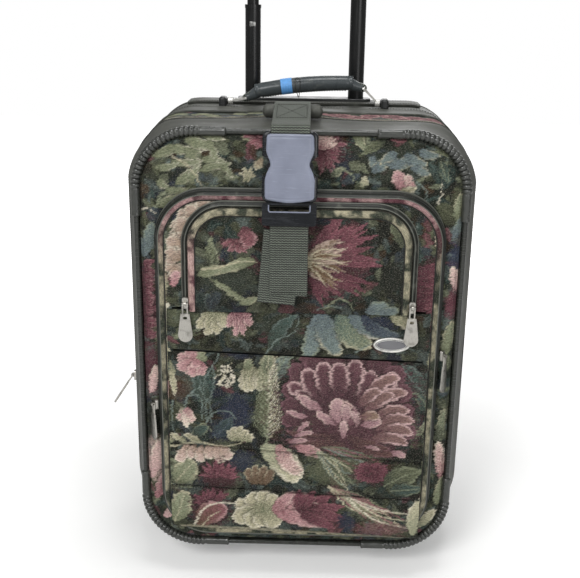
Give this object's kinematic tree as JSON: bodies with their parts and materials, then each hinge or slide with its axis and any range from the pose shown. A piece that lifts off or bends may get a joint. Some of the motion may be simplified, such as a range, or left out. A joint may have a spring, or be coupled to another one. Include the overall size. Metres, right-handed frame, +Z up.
{
  "type": "rolling suitcase",
  "caption": "Upright rolling suitcase with a padded tapestry front, zipped lid and pockets, a telescoping pull handle, a soft carry handle and a clip strap.",
  "frame": {"origin": "on the floor, under the middle of the body's width, between the front feet and the wheels", "axes": "+Z up, +X to the right seen from the front, the padded front faces -Y"},
  "size_m": [0.4101, 0.2859, 0.974],
  "materials": {
    "tapestry": "woven floral tapestry",
    "gusset": "grey-green coated fabric",
    "back_fabric": "coarse grey-green fabric",
    "lining": "thin plain lining",
    "board": "stiff sheet",
    "welt": "dark piping",
    "zip": "zip tape with metal teeth",
    "silver": "plated metal",
    "tube": "black enamel",
    "black_plastic": "moulded black",
    "sleeve": "ribbed rubber",
    "webbing": "grey-green webbing",
    "buckle": "blue-grey moulded",
    "grip": "padded grey-green cover",
    "blue_tape": "blue sticky tape",
    "tyre": "dark wheel tread",
    "hub": "moulded hub",
    "badge": "dark oval plate with bright rim",
    "steel": "axle"
  },
  "bodies": {
    "main_body": {"board_frame": "board", "lining": "lining", "inner_back_pad": "lining", "tapestry_band": "tapestry", "rear_gusset": "gusset", "back_panel": "back_fabric", "rear_piping": "welt", "top_strip": "gusset", "main_zip_rear": "zip", "outer_tubes": "tube", "tube_bracket": "black_plastic", "handle_bezel": "black_plastic", "wheel_housing_right": "black_plastic", "wheel_housing_left": "black_plastic", "wheel_axles": "steel", "front_feet": "black_plastic", "skid_rails": "black_plastic", "carry_anchors": "silver"},
    "lid": {"lid_panel": "tapestry", "lid_gusset": "gusset", "main_zip_front": "zip", "edge_tube": "tube", "corner_sleeves": "sleeve", "large_pocket": "tapestry", "large_pocket_zip": "zip", "small_pocket": "tapestry", "small_pocket_zip": "zip", "pocket_band": "tapestry", "slip_pocket": "tapestry", "badge": "badge", "strap_roll": "webbing", "strap_upper": "webbing", "buckle_shell": "buckle"},
    "buckle_clip": {"buckle_insert": "buckle", "strap_tail": "webbing", "strap_loop": "webbing"},
    "carry_handle": {"carry_grip": "grip", "carry_core": "webbing", "marker_tape": "blue_tape", "carry_rings": "silver"},
    "stage_left": {"stage_tube_left": "tube"},
    "stage_right": {"stage_tube_right": "tube"},
    "pull_handle": {"inner_tubes": "tube", "pull_grip": "black_plastic"},
    "button": {"grip_button": "black_plastic"},
    "wheel_left": {"wheel_tyre_left": "tyre", "wheel_hub_left": "hub"},
    "wheel_right": {"wheel_tyre_right": "tyre", "wheel_hub_right": "hub"},
    "slider_body_main": {"slider_main": "silver"},
    "pull_body_main": {"pull_main": "silver"},
    "slider_body_large_left": {"slider_large_left": "silver"},
    "pull_body_large_left": {"pull_large_left": "silver"},
    "slider_body_large_right": {"slider_large_right": "silver"},
    "pull_body_large_right": {"pull_large_right": "silver"},
    "slider_body_small_left": {"slider_small_left": "silver"},
    "pull_body_small_left": {"pull_small_left": "silver"},
    "slider_body_small_right": {"slider_small_right": "silver"},
    "pull_body_small_right": {"pull_small_right": "silver"}
  },
  "joints": [
    {"name": "lid_hinge", "type": "hinge", "parent": "main_body", "child": "lid", "pos_m": [0, -0.026, 0.028], "axis": [1, 0, 0], "range_deg": [0, 95]},
    {"name": "pull_handle_slide", "type": "slide", "parent": "main_body", "child": "pull_handle", "axis": [0, 0, 1], "range_m": [-0.415, 0]},
    {"name": "stage_left_slide", "type": "slide", "parent": "main_body", "child": "stage_left", "axis": [0, 0, 1], "range_m": [-0.1021, 0]},
    {"name": "stage_right_slide", "type": "slide", "parent": "main_body", "child": "stage_right", "axis": [0, 0, 1], "range_m": [-0.1431, 0]},
    {"name": "grip_button_press", "type": "slide", "parent": "pull_handle", "child": "button", "axis": [0, 0, -1], "range_m": [0, 0.003], "stiffness_N_per_m": 600, "springref_m": -0.001},
    {"name": "wheel_left_spin", "type": "hinge", "parent": "main_body", "child": "wheel_left", "pos_m": [-0.141, 0.106, 0.03], "axis": [1, 0, 0], "continuous": true},
    {"name": "wheel_right_spin", "type": "hinge", "parent": "main_body", "child": "wheel_right", "pos_m": [0.141, 0.106, 0.03], "axis": [1, 0, 0], "continuous": true},
    {"name": "carry_handle_swing", "type": "hinge", "parent": "main_body", "child": "carry_handle", "pos_m": [0, 0.067, 0.519], "axis": [1, 0, 0], "range_deg": [-15, 50]},
    {"name": "main_zip_slide", "type": "slide", "parent": "main_body", "child": "slider_body_main", "axis": [0, 0, 1], "range_m": [-0.1, 0.22]},
    {"name": "main_pull_swing", "type": "hinge", "parent": "slider_body_main", "child": "pull_body_main", "pos_m": [-0.195, -0.026, 0.208], "axis": [0, 1, 0], "range_deg": [-33, 107]},
    {"name": "large_left_zip_slide", "type": "slide", "parent": "lid", "child": "slider_body_large_left", "axis": [0, 0, 1], "range_m": [-0.028, 0.175]},
    {"name": "large_left_pull_swing", "type": "hinge", "parent": "slider_body_large_left", "child": "pull_body_large_left", "pos_m": [-0.157, -0.1095, 0.209], "axis": [-0.4695, 0.8829, 0], "range_deg": [0, 140]},
    {"name": "large_right_zip_slide", "type": "slide", "parent": "lid", "child": "slider_body_large_right", "axis": [0, 0, 1], "range_m": [-0.09, 0.115]},
    {"name": "large_right_pull_swing", "type": "hinge", "parent": "slider_body_large_right", "child": "pull_body_large_right", "pos_m": [0.157, -0.1095, 0.273], "axis": [-0.4695, -0.8829, 0], "range_deg": [0, 140]},
    {"name": "small_left_zip_slide", "type": "slide", "parent": "lid", "child": "slider_body_small_left", "axis": [0, 0, 1], "range_m": [0, 0.055]},
    {"name": "small_left_pull_swing", "type": "hinge", "parent": "slider_body_small_left", "child": "pull_body_small_left", "pos_m": [-0.1178, -0.1245, 0.331], "axis": [-1, 0, 0], "range_deg": [0, 140]},
    {"name": "small_right_zip_slide", "type": "slide", "parent": "lid", "child": "slider_body_small_right", "axis": [0, 0, 1], "range_m": [0, 0.055]},
    {"name": "small_right_pull_swing", "type": "hinge", "parent": "slider_body_small_right", "child": "pull_body_small_right", "pos_m": [0.1178, -0.1245, 0.331], "axis": [-1, 0, 0], "range_deg": [0, 140]},
    {"name": "buckle_release", "type": "slide", "parent": "lid", "child": "buckle_clip", "axis": [0, -0.1564, -0.9877], "range_m": [0, 0.06]}
  ],
  "couplings": [
    {"joint": "stage_left_slide", "follows": "pull_handle_slide", "ratio": 0.24578},
    {"joint": "stage_right_slide", "follows": "pull_handle_slide", "ratio": 0.34458}
  ]
}
